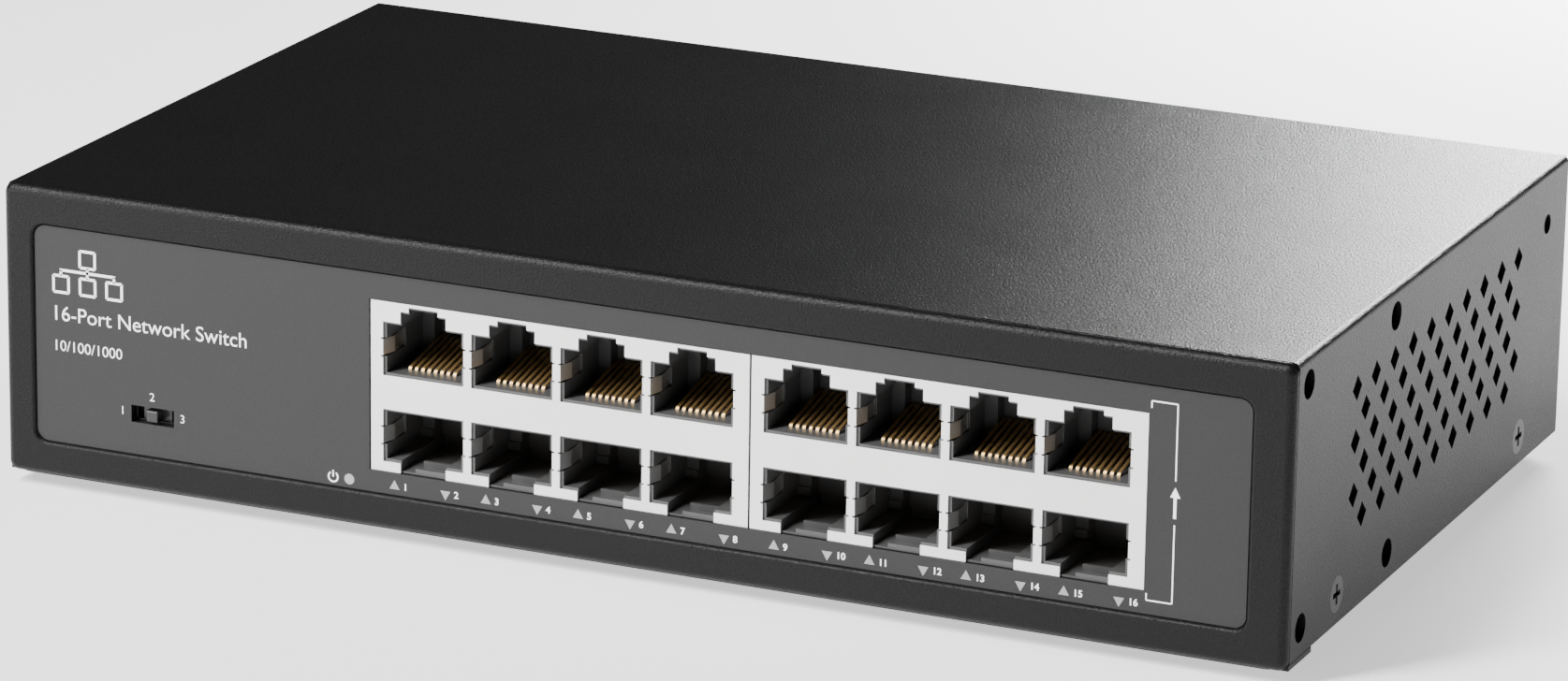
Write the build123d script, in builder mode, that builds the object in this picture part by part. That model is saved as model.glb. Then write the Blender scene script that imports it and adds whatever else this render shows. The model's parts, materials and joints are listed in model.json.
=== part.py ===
from build123d import *
from math import radians, sqrt, tan
import os

# A desktop network switch: a folded steel case with sixteen stacked sockets, a mode slide switch,
# a main board and an internal mains supply. Millimetres. +X is right seen from the front, the front
# faces -Y, +Z is up, and the origin is on the floor under the middle of the whole object.

os.makedirs("parts", exist_ok=True)

# ---------------------------------------------------------------- sizes: case
case_width = 200.0
case_depth = 118.0
case_height = 44.0
base_sheet = 0.8
cover_sheet = 0.8
cover_gap = 0.1            # play between the cover and the base inside it
cover_setback = 1.6        # the cover starts this far behind the front face
cover_bend = 1.0
front_bend = 1.3           # outer radius round the front face
bezel_depth = 1.4          # the front wall's full-size rim, before it steps in under the cover
bezel_corner = 1.5
rear_bend = 1.2
corner_radius = 2.2
front_return = 12.0        # flanges of the front wall, under the cover
rear_return = 6.0
side_flange_height = 12.0
flange_relief = 0.6        # slit between neighbouring flanges
corner_tab_depth = 9.0     # the floor is full width this far back, under the cover's sides

# sizes: recess for the label in the front wall
recess_left = 4.6
recess_right = 5.75
recess_top = 5.4
recess_bottom = 5.0
recess_radius = 2.2
recess_depth = 0.7
recess_draft = 25.0
rim_radius = 0.5
label_sheet = 0.2
label_gap = 0.05

# sizes: side walls, measured from the front face and from the underside of the case
rack_hole_radius = 2.1
rack_first_y = 5.5
rack_spacing_y = 35.5
rack_bottom_z = 5.0
rack_spacing_z = 35.0
cover_screw_z = 5.3
cover_screw_front_y = 20.2
cover_screw_rear_y = 18.3  # from the rear face
small_hole_radius = 1.5
small_hole_rear_y = 9.0    # from the rear face
small_hole_z = 35.7
vent_columns = 10
vent_rows = 6
vent_pitch = 7.8
vent_diagonal = 3.8
vent_top_z = 33.8
vent_middle_y = 60.6

# sizes: feet
foot_height = 2.0
foot_radius = 6.0
foot_inset = 14.0
foot_edge = 0.5

# sizes: fasteners
screw_radius = 1.5
screw_play = 0.05
sink_radius = 2.75         # countersunk head
sink_depth = 1.25
cover_screw_length = 6.0
thread_boss_radius = 2.6
thread_boss_length = 1.6
pan_radius = 2.8
pan_height = 1.9
pan_screw_length = 5.0
recess_cross_width = 0.75
recess_cross_length = 3.0
recess_cross_depth = 0.9
recess_cross_draft = 12.0

# sizes: main board
standoff_height = 6.3
standoff_radius = 2.75
board_thickness = 1.6
board_front = 2.7          # behind the front face
board_depth = 72.0
board_side = 11.5          # from each side of the case
board_hole_radius = 1.7
board_hole_inset = 5.0
board_hole_spacing = 38.0  # from the rear holes to the front ones

# sizes: sockets
jack_columns = 4
jack_pitch = 14.05
jack_opening = 12.8
jack_margin_left = 1.95     # beside the first and the last opening of a block
jack_margin_right = 2.45
jack_height = 25.5
jack_depth = 27.0
jack_setback = 0.7         # the shield's front stands this far behind the front face
jacks_inset = 21.2         # from the right side of the case to the last socket block
jack_gap = 0.3
window_gap = 0.15          # beside and above the sockets, in the front wall and the label
window_sill_gap = 0.05     # under the sockets
shield_sheet = 0.3
housing_play = 0.05
cavity_width = 11.9
cavity_lip = 0.35          # the plastic cavity is this much lower than the shield's opening
plug_depth = 11.6          # the cavity is full width to here, for the plug
cavity_depth = 14.0        # its back is narrower, for the contacts
cavity_back_width = 8.0
ridge_height = 1.15        # plug stops in the cavity's back corners
ridge_lift = 0.3
ridge_proud = 0.5
sill_left = 1.4            # sills in the lower key: from here left of the middle to its right side
sill_depths = (0.35, 3.0)
sill_heights = (0.6, 1.0)
sill_sheet = 0.5
upper_top = 3.05           # levels of the shield's openings, down from its top
upper_bottom = 11.05
lower_top = 16.15
lower_bottom = 24.0
key_wide = 7.2
key_wide_top = 1.25
key_narrow = 4.6
key_narrow_top = 0.5
key_depth = 11.0
tab_height = 2.4
tab_length = 6.0
tab_peak = 0.4             # share of the length at which the tab bulges most
tab_bulge = 0.65
tab_sheet = 0.25
tab_play = 0.2
tab_slit = 0.25            # slits beside a tab, in the shield's front
tab_slit_reach = 0.35
upper_tab_z = 6.9
lower_tab_z = 20.1
contact_count = 8
contact_pitch = 1.016
contact_width = 0.46
contact_thickness = 0.3
contact_root_y = 3.0       # behind the shield's front
contact_root_depth = 1.2   # anchored this deep in the plastic
contact_low = 0.3
contact_rise = 2.3
contact_reach = 12.4
contact_bend = 0.5

# sizes: indicator windows, under the sockets
led_drop = 0.4             # from the board's underside down to the windows' middles
led_first = 3.85           # from the left end of each socket block
led_pitch = 14.6
led_pair = 8.15
led_hole_radius = 1.1
window_side = 1.6
power_led_offset = 3.45    # left of the first socket block
power_window_radius = 0.8
led_width = 1.6
led_depth = 1.0
led_height = 1.1

# sizes: mode slide switch
switch_inset = 24.2        # from the left side of the case
switch_lever_z = 2.85      # above the board
switch_window_side = 0.6   # room beside and above the lever, over its whole travel
switch_window_rise = 0.45
switch_body_width = 10.6
switch_body_depth = 4.4
switch_body_height = 5.2
switch_setback = 0.3       # behind the back of the front wall
switch_plate = 0.3
lever_width = 1.85
lever_height = 1.7
lever_proud = 0.3          # in front of the label
lever_travel = 2.0         # each way from the middle position
lever_play = 0.15
slider_width = 4.6
slider_height = 2.9
slider_depth = 1.6
switch_body_edge = 0.4
clasp_width = 8.6          # the frame's sheet over the switch
clasp_depth = 2.6
lever_edge = 0.2
terminal_count = 4
terminal_pitch = 2.0
terminal_width = 0.6
terminal_sheet = 0.3
terminal_height = 2.5
terminal_foot = 1.6

# sizes: parts on the main board, placed from its front edge and its middle
magnetics_count = 8
magnetics_width = 12.8
magnetics_depth = 16.0
magnetics_height = 6.0
magnetics_gap = 3.0
lead_reach = 1.2
lead_lift = 0.4
lead_sheet = 0.2
lead_count = 12
lead_end_gap = 1.0
magnetics_edge = 0.4
chip_size = 20.0
chip_height = 1.6
chip_edge = 0.2
chip_x = 20.0
chip_back = 14.5           # from the board's back edge to the chip's middle
sink_size = 24.0
sink_base = 2.0
sink_fin_height = 10.0
sink_fin_count = 8
sink_fin = 1.2
sink_slot = 2.0
small_part_back = 12.0     # from the board's back edge to a row of small parts
memory_x = -18.0
memory_side = 5.2
memory_height = 1.6
memory_lead_size = (1.4, 0.4, 0.3)
memory_lead_pitch = 1.27
memory_lead_spread = 7.4
memory_lead_rows = 4
crystal_x = -3.0
crystal_length = 11.0
crystal_width = 4.6
crystal_height = 3.5
crystal_edge = 0.5
inductor_xs = (74.0, 84.0)
inductor_side = 7.0
inductor_height = 3.2
inductor_core_radius = 2.9
inductor_core_height = 4.0
board_can_places = ((44.0, -4.0), (44.0, 4.0), (52.0, -4.0), (-32.0, 0.0))
board_can_radius = 3.15
board_can_height = 7.5
can_neck = 0.12            # shares of a can's height and radius
can_bead = 0.08
can_score = 1.3
can_score_width = 0.3

# sizes: mains inlet
inlet_x = -68.0
inlet_z = 22.0
inlet_stand = 2.0          # the flange stands this far behind the rear wall
inlet_flange_width = 48.0
inlet_flange_height = 22.0
inlet_flange_corner = 4.0
inlet_body_width = 27.0
inlet_body_height = 19.6
inlet_body_depth = 20.0
inlet_cut_gap = 0.2
inlet_mouth_width = 24.2
inlet_mouth_height = 16.8
inlet_mouth_depth = 17.0
inlet_mouth_corner = 4.5
inlet_screw_spacing = 40.0
inlet_pin_width = 2.0
inlet_pin_height = 4.0
inlet_pin_spread = 7.0
inlet_pin_offset = 2.0
inlet_pin_edge = 0.6
inlet_pin_tip = 2.5        # the tips stop short of the mouth
inlet_tail = 6.0
inlet_tail_sheet = 0.8

# sizes: supply board
supply_left = -46.0
supply_width = 100.0
supply_depth = 34.0
supply_rear_gap = 5.0
supply_hole_inset = 4.0
film_sheet = 0.3
film_flap = 14.0
film_margin = 2.0
film_clear = 0.5
wire_radius = 0.8
wire_bend = 4.0
lead_arch = 16.0
nut_radius = 2.9
nut_height = 2.4
inlet_screw_length = 8.0

# sizes: two-way headers
header_width = 8.0
header_depth = 5.6
header_height = 7.0
header_pitch = 2.5
header_x = 62.0
header_inset = 6.0
header_wall = 0.8
header_floor = 1.0

# sizes: parts on the supply board, placed from its left end and its middle line
mains_header_x = 10.5
output_header_place = (92.5, -3.0)
fuse_place = (18.0, -12.0)
fuse_radius = 4.2
fuse_height = 8.0
fuse_edge = 0.6
filter_place = (14.0, 10.5)
filter_size = (13.0, 6.0, 12.0)
filter_edge = 0.5
choke_place = (18.5, -1.0)
choke_ring = 4.6
choke_wire = 1.7
choke_lift = 0.6
choke_foot_length = 11.6
choke_foot_width = 5.0
choke_foot_height = 2.0
bulk_place = (34.0, 5.0)
bulk_radius = 8.0
bulk_height = 25.0
bridge_place = (34.0, -12.5)
bridge_size = (14.0, 3.5, 10.0)
bridge_leg_size = (0.9, 0.6, 2.0)
bridge_leg_pitch = 3.8
bridge_leg_count = 4
transformer_place = (56.0, 0.0)
core_length = 26.0
core_depth = 22.0
core_thickness = 7.0
core_height = 20.0
bobbin_rail = 3.0
bobbin_long = (25.0, 18.0)
bobbin_short = (19.0, 22.0)
winding_height = 18.0
core_edge = 0.5
winding_radius = 8.6
cooler_place = (71.0, 0.0)
cooler_sheet = 1.6
cooler_depth = 22.0
cooler_height = 22.0
cooler_flange = 6.0
transistor_size = (4.4, 10.0, 9.0)
transistor_leg = (0.6, 0.8, 5.0)
transistor_leg_pitch = 2.54
transistor_leg_count = 3
output_can_places = ((83.5, 8.0), (83.5, -8.0))
output_can_radius = 5.0
output_can_height = 20.0

# sizes: earth stud and tag
earth_x = -84.0
earth_lead_run = 10.0
earth_stud_gap = 6.0
earth_stud_height = 5.0
tag_radius = 3.2
tag_sheet = 0.8
tag_barrel_radius = 1.4
tag_barrel_height = 4.0

# ---------------------------------------------------------------- places worked out from the sizes
y_front = -(case_depth + inlet_stand) / 2
y_rear = y_front + case_depth
z_case = foot_height
z_top = z_case + case_height
z_floor = z_case + base_sheet
half_width = case_width / 2
flange_face = half_width - cover_sheet - cover_gap
front_top = z_top - cover_sheet - cover_gap

recess_width = case_width - recess_left - recess_right
recess_x = (recess_left - recess_right) / 2
recess_height = case_height - recess_top - recess_bottom
recess_z = z_case + recess_bottom + recess_height / 2
label_face = recess_depth - label_sheet
wall_back = recess_depth + base_sheet

board_bottom = z_floor + standoff_height
board_top = board_bottom + board_thickness
led_z = board_bottom - led_drop
board_half = half_width - board_side
board_front_y = y_front + board_front
board_back_y = board_front_y + board_depth

block_width = jack_margin_left + jack_opening + (jack_columns - 1) * jack_pitch + jack_margin_right
block_right_left_edge = half_width - jacks_inset - block_width
block_left_left_edge = block_right_left_edge - jack_gap - block_width
block_edges = {"left": block_left_left_edge, "right": block_right_left_edge}
jack_y = y_front + jack_setback
jack_z = board_top
jack_top = jack_z + jack_height
jacks_left = block_left_left_edge
jacks_right = block_right_left_edge + block_width

switch_x = -half_width + switch_inset
lever_z = board_top + switch_lever_z
switch_window_width = lever_width + 2 * lever_travel + 2 * switch_window_side
switch_window_height = lever_height + 2 * switch_window_rise
switch_y = y_front + wall_back + switch_setback

supply_back_y = y_rear - supply_rear_gap
supply_front_y = supply_back_y - supply_depth
supply_x = supply_left + supply_width / 2
supply_y = (supply_front_y + supply_back_y) / 2
inlet_centre_z = z_case + inlet_z
header_y = board_back_y - header_inset
tail_y = y_rear + inlet_stand - inlet_body_depth - inlet_tail
mains_header = (supply_left + mains_header_x, tail_y - header_width / 2 - 2 * wire_radius)
output_header = (supply_left + output_header_place[0], supply_y + output_header_place[1])
lead_top = board_top + lead_arch
earth_y = tail_y - earth_lead_run
earth_stud_y = earth_y - earth_stud_gap

side_holes_y = [y_front + cover_screw_front_y, y_rear - cover_screw_rear_y]
rack_y = [y_front + rack_first_y, y_front + rack_first_y + rack_spacing_y]
rack_z = [z_case + rack_bottom_z, z_case + rack_bottom_z + rack_spacing_z]

UP = (Align.CENTER, Align.CENTER, Align.MIN)
DOWN = (Align.CENTER, Align.CENTER, Align.MAX)
BACK = (Align.CENTER, Align.MIN, Align.MIN)
CORNER = (Align.MIN, Align.MIN, Align.MIN)


def front_plane(depth):
    """A plane facing the front, this far behind the front face: local x is X, local y is Z."""
    return Plane(origin=(0, y_front + depth, 0), x_dir=(1, 0, 0), z_dir=(0, -1, 0))


def rear_plane(stand):
    """A plane facing the rear, this far behind the rear face: local x is -X, local y is Z."""
    return Plane(origin=(0, y_rear + stand, 0), x_dir=(-1, 0, 0), z_dir=(0, 1, 0))


def column_centres(edge):
    """The middles of a socket block's columns."""
    first = edge + jack_margin_left + jack_opening / 2
    return [first + k * jack_pitch for k in range(jack_columns)]


def socket_window():
    """The window for both socket blocks: its middle and size in X and Z."""
    bottom = jack_z - window_sill_gap
    top = jack_top + window_gap
    middle = ((jacks_left + jacks_right) / 2, (bottom + top) / 2)
    return middle, (jacks_right - jacks_left + 2 * window_gap, top - bottom)


def led_places():
    """The middles of the link windows, in pairs: one for the upper socket, one for the lower."""
    places = []
    for edge in block_edges.values():
        for k in range(jack_columns):
            x = edge + led_first + k * led_pitch
            places.append((x, 1))
            places.append((x + led_pair, -1))
    return places


def power_led_x():
    return jacks_left - power_led_offset


def board_holes():
    """Mounting holes of the main board."""
    x = board_half - board_hole_inset
    near = board_back_y - board_hole_inset
    far = near - board_hole_spacing
    return [(x, near), (-x, near), (x, far), (-x, far), (0, near)]


def supply_holes():
    """Mounting holes of the supply board."""
    dx = supply_width / 2 - supply_hole_inset
    dy = supply_depth / 2 - supply_hole_inset
    return [(supply_x + i * dx, supply_y + j * dy) for i in (-1, 1) for j in (-1, 1)]


# ---------------------------------------------------------------- base pan
with BuildPart() as base_pan:
    # front wall with its rolled rim, as large as the whole case
    with BuildSketch(front_plane(0)):
        with Locations((0, (z_case + z_top) / 2)):
            RectangleRounded(case_width, case_height, bezel_corner)
    extrude(amount=-bezel_depth)
    fillet(base_pan.faces().sort_by(Axis.Y)[0].edges(), front_bend)
    offset(amount=-base_sheet, openings=base_pan.faces().sort_by(Axis.Y)[-1])
    # flanges run back from the rim, under the cover
    with BuildSketch(front_plane(base_sheet)):
        with Locations((0, (z_case + front_top) / 2)):
            RectangleRounded(2 * flange_face, front_top - z_case, corner_radius)
            RectangleRounded(2 * (flange_face - base_sheet), front_top - z_case - 2 * base_sheet,
                             corner_radius - base_sheet, mode=Mode.SUBTRACT)
    extrude(amount=base_sheet - front_return)
    # the label's recess, pressed back with the same wall thickness
    with BuildSketch(front_plane(base_sheet)):
        with Locations((recess_x, recess_z)):
            RectangleRounded(recess_width, recess_height, recess_radius)
    extrude(amount=-recess_depth)
    with BuildSketch(front_plane(0)):
        with Locations((recess_x, recess_z)):
            RectangleRounded(recess_width, recess_height, recess_radius)
    extrude(amount=-recess_depth, taper=recess_draft, mode=Mode.SUBTRACT)
    rim = base_pan.faces().filter_by(Axis.Y).sort_by(Axis.Y)[0].inner_wires()[0].edges()
    fillet(rim, rim_radius)

with BuildPart() as rear_shell:
    with BuildSketch(rear_plane(0)):
        with Locations((0, (z_case + front_top) / 2)):
            RectangleRounded(2 * flange_face, front_top - z_case, corner_radius)
    extrude(amount=-rear_return)
    fillet(rear_shell.faces().sort_by(Axis.Y)[-1].edges(), rear_bend)
    offset(amount=-base_sheet, openings=rear_shell.faces().sort_by(Axis.Y)[0])

with base_pan:
    add(rear_shell.part)
    # floor, with a full-width tab under each front corner of the cover
    floor_front = y_front + front_bend
    floor_back = y_rear - rear_bend
    with Locations((0, (floor_front + floor_back) / 2, z_case)):
        Box(2 * flange_face - 2 * corner_radius, floor_back - floor_front, base_sheet, align=UP)
    with Locations((0, floor_front, z_case)):
        Box(case_width, corner_tab_depth, base_sheet, align=BACK)
    # side flanges stand up between the front and the rear ones
    flange_start = y_front + front_return + flange_relief
    flange_end = y_rear - rear_return - flange_relief
    for side in (-1, 1):
        with Locations((side * (flange_face - base_sheet / 2), (flange_start + flange_end) / 2, z_case)):
            Box(base_sheet, flange_end - flange_start, side_flange_height, align=UP)
        with Locations((side * (flange_face - corner_radius), (flange_start + flange_end) / 2, z_case)):
            Box(2 * corner_radius, flange_end - flange_start, base_sheet, align=UP)
        # threaded bosses for the cover's screws
        for y in side_holes_y:
            boss = Plane(origin=(side * flange_face, y, z_case + cover_screw_z), z_dir=(-side, 0, 0))
            with BuildSketch(boss):
                Circle(thread_boss_radius)
            extrude(amount=base_sheet + thread_boss_length)
    # earth stud
    with Locations((earth_x, earth_stud_y, z_floor)):
        Cylinder(screw_radius - screw_play, earth_stud_height, align=UP)
    # holes through the flanges, in line with the cover's
    with BuildSketch(Plane.YZ):
        with Locations([(y, z) for y in rack_y for z in rack_z]):
            Circle(rack_hole_radius)
        with Locations([(y, z_case + cover_screw_z) for y in side_holes_y]):
            Circle(screw_radius)
    extrude(amount=half_width, both=True, mode=Mode.SUBTRACT)
    for side in (-1, 1):
        for y in side_holes_y:
            face = Plane(origin=(side * half_width, y, z_case + cover_screw_z), z_dir=(-side, 0, 0))
            with BuildSketch(face):
                Circle(sink_radius)
            with BuildSketch(face.offset(sink_depth)):
                Circle(screw_radius)
            loft(mode=Mode.SUBTRACT)
    # windows of the front wall: sockets, slide switch, indicator holes
    with BuildSketch(front_plane(0)):
        with Locations(socket_window()[0]):
            Rectangle(*socket_window()[1])
        with Locations((switch_x, lever_z)):
            Rectangle(switch_window_width, switch_window_height)
        with Locations([(x, led_z) for x, _ in led_places()]):
            Circle(led_hole_radius)
        with Locations((power_led_x(), led_z)):
            Circle(led_hole_radius)
    extrude(amount=-wall_back - base_sheet, mode=Mode.SUBTRACT)
    # windows of the rear wall: mains inlet and its two screws
    with BuildSketch(rear_plane(0)):
        with Locations((-inlet_x, inlet_centre_z)):
            Rectangle(inlet_body_width + 2 * inlet_cut_gap, inlet_body_height + 2 * inlet_cut_gap)
            with Locations((-inlet_screw_spacing / 2, 0), (inlet_screw_spacing / 2, 0)):
                Circle(screw_radius)
    extrude(amount=-base_sheet, mode=Mode.SUBTRACT)
base_pan.part.label = "base_pan"
export_step(base_pan.part, "parts/base_pan.step")

# ---------------------------------------------------------------- top cover
with BuildPart() as top_cover:
    cover_bottom = z_case + base_sheet + cover_gap
    cover_rise = z_top - cover_bottom
    with BuildSketch(front_plane(cover_setback)) as bent_sheet:
        with Locations((0, cover_bottom)):
            Rectangle(case_width, cover_rise, align=(Align.CENTER, Align.MIN))
        fillet(bent_sheet.vertices().group_by(Axis.Y)[-1], cover_bend)
        with BuildSketch(front_plane(cover_setback), mode=Mode.SUBTRACT) as inside:
            with Locations((0, cover_bottom)):
                Rectangle(case_width - 2 * cover_sheet, cover_rise - cover_sheet,
                          align=(Align.CENTER, Align.MIN))
            fillet(inside.vertices().group_by(Axis.Y)[-1], cover_bend - cover_sheet)
    extrude(amount=-(case_depth - cover_setback))
    with BuildSketch(Plane.YZ):
        # staggered rows of square vents, turned on their corners
        for row in range(vent_rows):
            count = vent_columns - row % 2
            for column in range(count):
                y = y_front + vent_middle_y + (column - (count - 1) / 2) * vent_pitch
                z = z_case + vent_top_z - row * vent_pitch / 2
                with Locations((y, z)):
                    Rectangle(vent_diagonal / sqrt(2), vent_diagonal / sqrt(2), rotation=45)
        with Locations([(y, z) for y in rack_y for z in rack_z]):
            Circle(rack_hole_radius)
        with Locations((y_rear - small_hole_rear_y, z_case + small_hole_z)):
            Circle(small_hole_radius)
    extrude(amount=half_width, both=True, mode=Mode.SUBTRACT)
    for side in (-1, 1):
        for y in side_holes_y:
            face = Plane(origin=(side * half_width, y, z_case + cover_screw_z), z_dir=(-side, 0, 0))
            with BuildSketch(face):
                Circle(sink_radius)
            with BuildSketch(face.offset(sink_depth)):
                Circle(screw_radius)
            loft(mode=Mode.SUBTRACT)
top_cover.part.label = "top_cover"
export_step(top_cover.part, "parts/top_cover.step")

# ---------------------------------------------------------------- label, a printed film in the recess
with BuildPart() as front_label:
    with BuildSketch(front_plane(label_face)):
        # the recess narrows towards its floor, so the film is cut that much smaller
        film_inset = recess_depth * tan(radians(recess_draft)) + label_gap
        with Locations((recess_x, recess_z)):
            RectangleRounded(recess_width - 2 * film_inset, recess_height - 2 * film_inset,
                             recess_radius - film_inset)
        with Locations(socket_window()[0]):
            Rectangle(*socket_window()[1], mode=Mode.SUBTRACT)
        with Locations((switch_x, lever_z)):
            Rectangle(switch_window_width, switch_window_height, mode=Mode.SUBTRACT)
        for x, point in led_places():
            with Locations((x, led_z)):
                RegularPolygon(window_side / sqrt(3), 3, rotation=90 * point, mode=Mode.SUBTRACT)
        with Locations((power_led_x(), led_z)):
            Circle(power_window_radius, mode=Mode.SUBTRACT)
    extrude(amount=-label_sheet)
front_label.part.label = "front_label"
export_step(front_label.part, "parts/front_label.step")

with BuildPart() as led_windows:
    with BuildSketch(front_plane(label_face)):
        for x, point in led_places():
            with Locations((x, led_z)):
                RegularPolygon(window_side / sqrt(3), 3, rotation=90 * point)
        with Locations((power_led_x(), led_z)):
            Circle(power_window_radius)
    extrude(amount=-label_sheet)
led_windows.part.label = "led_windows"
export_step(led_windows.part, "parts/led_windows.step")

# ---------------------------------------------------------------- feet
foot_x = half_width - foot_inset
foot_places = [(foot_x, y_front + foot_inset), (-foot_x, y_front + foot_inset),
               (foot_x, y_rear - foot_inset), (-foot_x, y_rear - foot_inset)]
for number, (x, y) in enumerate(foot_places, 1):
    with BuildPart() as rubber_foot:
        with Locations((x, y, 0)):
            Cylinder(foot_radius, foot_height, align=UP)
        fillet(rubber_foot.edges().filter_by(GeomType.CIRCLE).sort_by(Axis.Z)[0], foot_edge)
    rubber_foot.part.label = f"rubber_foot_{number}"
    export_step(rubber_foot.part, f"parts/rubber_foot_{number}.step")


# ---------------------------------------------------------------- screws
def cross_outline():
    """The outline of a cross recess, for the sketch that is open."""
    Rectangle(recess_cross_length, recess_cross_width)
    Rectangle(recess_cross_width, recess_cross_length)


def sunk_screw(face, length):
    """A countersunk screw whose head lies flush with this plane."""
    with BuildPart() as screw:
        with BuildSketch(face):
            Circle(sink_radius - screw_play)
        with BuildSketch(face.offset(-sink_depth)):
            Circle(screw_radius - screw_play)
        loft()
        with BuildSketch(face.offset(-sink_depth)):
            Circle(screw_radius - screw_play)
        extrude(amount=-(length - sink_depth))
        with BuildSketch(face):
            cross_outline()
        extrude(amount=-recess_cross_depth, taper=recess_cross_draft, mode=Mode.SUBTRACT)
    return screw.part


def pan_screw(x, y, seat):
    """A pan-head screw whose head sits on this level."""
    with BuildPart() as screw:
        with Locations((x, y, seat)):
            Cylinder(pan_radius, pan_height, align=UP)
            Cylinder(screw_radius - screw_play, pan_screw_length, align=DOWN)
        fillet(screw.faces().sort_by(Axis.Z)[-1].edges(), pan_height / 2)
        with BuildSketch(Plane(origin=(x, y, seat + pan_height), z_dir=(0, 0, 1))):
            cross_outline()
        extrude(amount=-recess_cross_depth, taper=recess_cross_draft, mode=Mode.SUBTRACT)
    return screw.part


cover_screw_set = []
for side in (-1, 1):
    for y in side_holes_y:
        place = (side * half_width, y, z_case + cover_screw_z)
        head = Plane(origin=place, x_dir=(0, 1, 0), z_dir=(side, 0, 0))
        cover_screw_set.append(sunk_screw(head, cover_screw_length))
with BuildPart() as cover_screws:
    add(cover_screw_set)
cover_screws.part.label = "cover_screws"
export_step(cover_screws.part, "parts/cover_screws.step")


def standoff_group(places):
    """Hexagonal studs pressed into the floor, threaded for a board's screws."""
    with BuildPart() as studs:
        with BuildSketch(Plane.XY.offset(z_floor)):
            with Locations(places):
                RegularPolygon(standoff_radius, 6)
                Circle(screw_radius, mode=Mode.SUBTRACT)
        extrude(amount=standoff_height)
    return studs


board_standoffs = standoff_group(board_holes())
board_standoffs.part.label = "board_standoffs"
export_step(board_standoffs.part, "parts/board_standoffs.step")

supply_standoffs = standoff_group(supply_holes())
supply_standoffs.part.label = "supply_standoffs"
export_step(supply_standoffs.part, "parts/supply_standoffs.step")

board_screw_set = [pan_screw(x, y, board_top) for x, y in board_holes()]
with BuildPart() as board_screws:
    add(board_screw_set)
board_screws.part.label = "board_screws"
export_step(board_screws.part, "parts/board_screws.step")

supply_screw_set = [pan_screw(x, y, board_top) for x, y in supply_holes()]
with BuildPart() as supply_screws:
    add(supply_screw_set)
supply_screws.part.label = "supply_screws"
export_step(supply_screws.part, "parts/supply_screws.step")

# ---------------------------------------------------------------- main board
with BuildPart() as main_board:
    with BuildSketch(Plane.XY.offset(board_bottom)):
        with Locations((0, (board_front_y + board_back_y) / 2)):
            Rectangle(2 * board_half, board_depth)
        with Locations(board_holes()):
            Circle(board_hole_radius, mode=Mode.SUBTRACT)
    extrude(amount=board_thickness)
main_board.part.label = "main_board"
export_step(main_board.part, "parts/main_board.step")

# indicator lamps hang under the board's front edge, facing the windows
with BuildPart() as indicator_leds:
    lamp_xs = [x for x, _ in led_places()] + [power_led_x()]
    with Locations([(x, board_front_y, board_bottom) for x in lamp_xs]):
        Box(led_width, led_depth, led_height, align=(Align.CENTER, Align.MIN, Align.MAX))
indicator_leds.part.label = "indicator_leds"
export_step(indicator_leds.part, "parts/indicator_leds.step")


# ---------------------------------------------------------------- sockets
def socket_outline(edge, width, upper, lower, keys):
    """The openings of one block: a rectangle per port with stepped latch keys.

    upper and lower are the rectangles' top and bottom levels, keys the wide and narrow keys as
    (width, top level, bottom level), all down from the block's top.
    """
    for x in column_centres(edge):
        for top, bottom in (upper, lower):
            with Locations((x, jack_top - (top + bottom) / 2)):
                Rectangle(width, bottom - top)
        for key_width, top, bottom in keys:
            with Locations((x, jack_top - (top + bottom) / 2)):
                Rectangle(key_width, bottom - top)


def tab_outline(x, side):
    """One earthing tab seen from above: a strip that bulges into the opening and back."""
    half = jack_opening / 2
    bulge_y = jack_y + tab_length * tab_peak
    Polyline((x + side * (half + tab_sheet), jack_y),
             (x + side * half, jack_y),
             (x + side * (half - tab_bulge), bulge_y),
             (x + side * (half - tab_sheet), jack_y + tab_length),
             (x + side * half, jack_y + tab_length),
             (x + side * (half - tab_bulge + tab_sheet), bulge_y),
             close=True)


def make_shield(edge):
    """The plated shell round one block of sockets."""
    middle = (edge + block_width / 2, jack_y, jack_z)
    with BuildPart() as shield:
        with Locations(middle):
            Box(block_width, jack_depth, jack_height, align=BACK)
        with Locations((middle[0], jack_y + shield_sheet, jack_z)):
            Box(block_width - 2 * shield_sheet, jack_depth - 2 * shield_sheet, jack_height - shield_sheet,
                align=BACK, mode=Mode.SUBTRACT)
        with BuildSketch(front_plane(jack_setback)):
            keys = ((key_wide, key_wide_top, upper_top + shield_sheet),
                    (key_narrow, key_narrow_top, key_wide_top + shield_sheet),
                    (key_wide, lower_bottom - shield_sheet, jack_height + shield_sheet))
            socket_outline(edge, jack_opening, (upper_top, upper_bottom), (lower_top, lower_bottom), keys)
            slit_offset = (tab_height + tab_slit) / 2
            for x in column_centres(edge):
                for level in (upper_tab_z, lower_tab_z):
                    with Locations((x, jack_top - level + slit_offset), (x, jack_top - level - slit_offset)):
                        Rectangle(jack_opening + 2 * tab_slit_reach, tab_slit)
        extrude(amount=-shield_sheet, mode=Mode.SUBTRACT)
        # earthing tabs folded into both sides of every opening
        for level in (upper_tab_z, lower_tab_z):
            with BuildSketch(Plane.XY.offset(jack_top - level - tab_height / 2)):
                for x in column_centres(edge):
                    for side in (-1, 1):
                        with BuildLine():
                            tab_outline(x, side)
                        make_face()
            extrude(amount=tab_height)
    return shield


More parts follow.
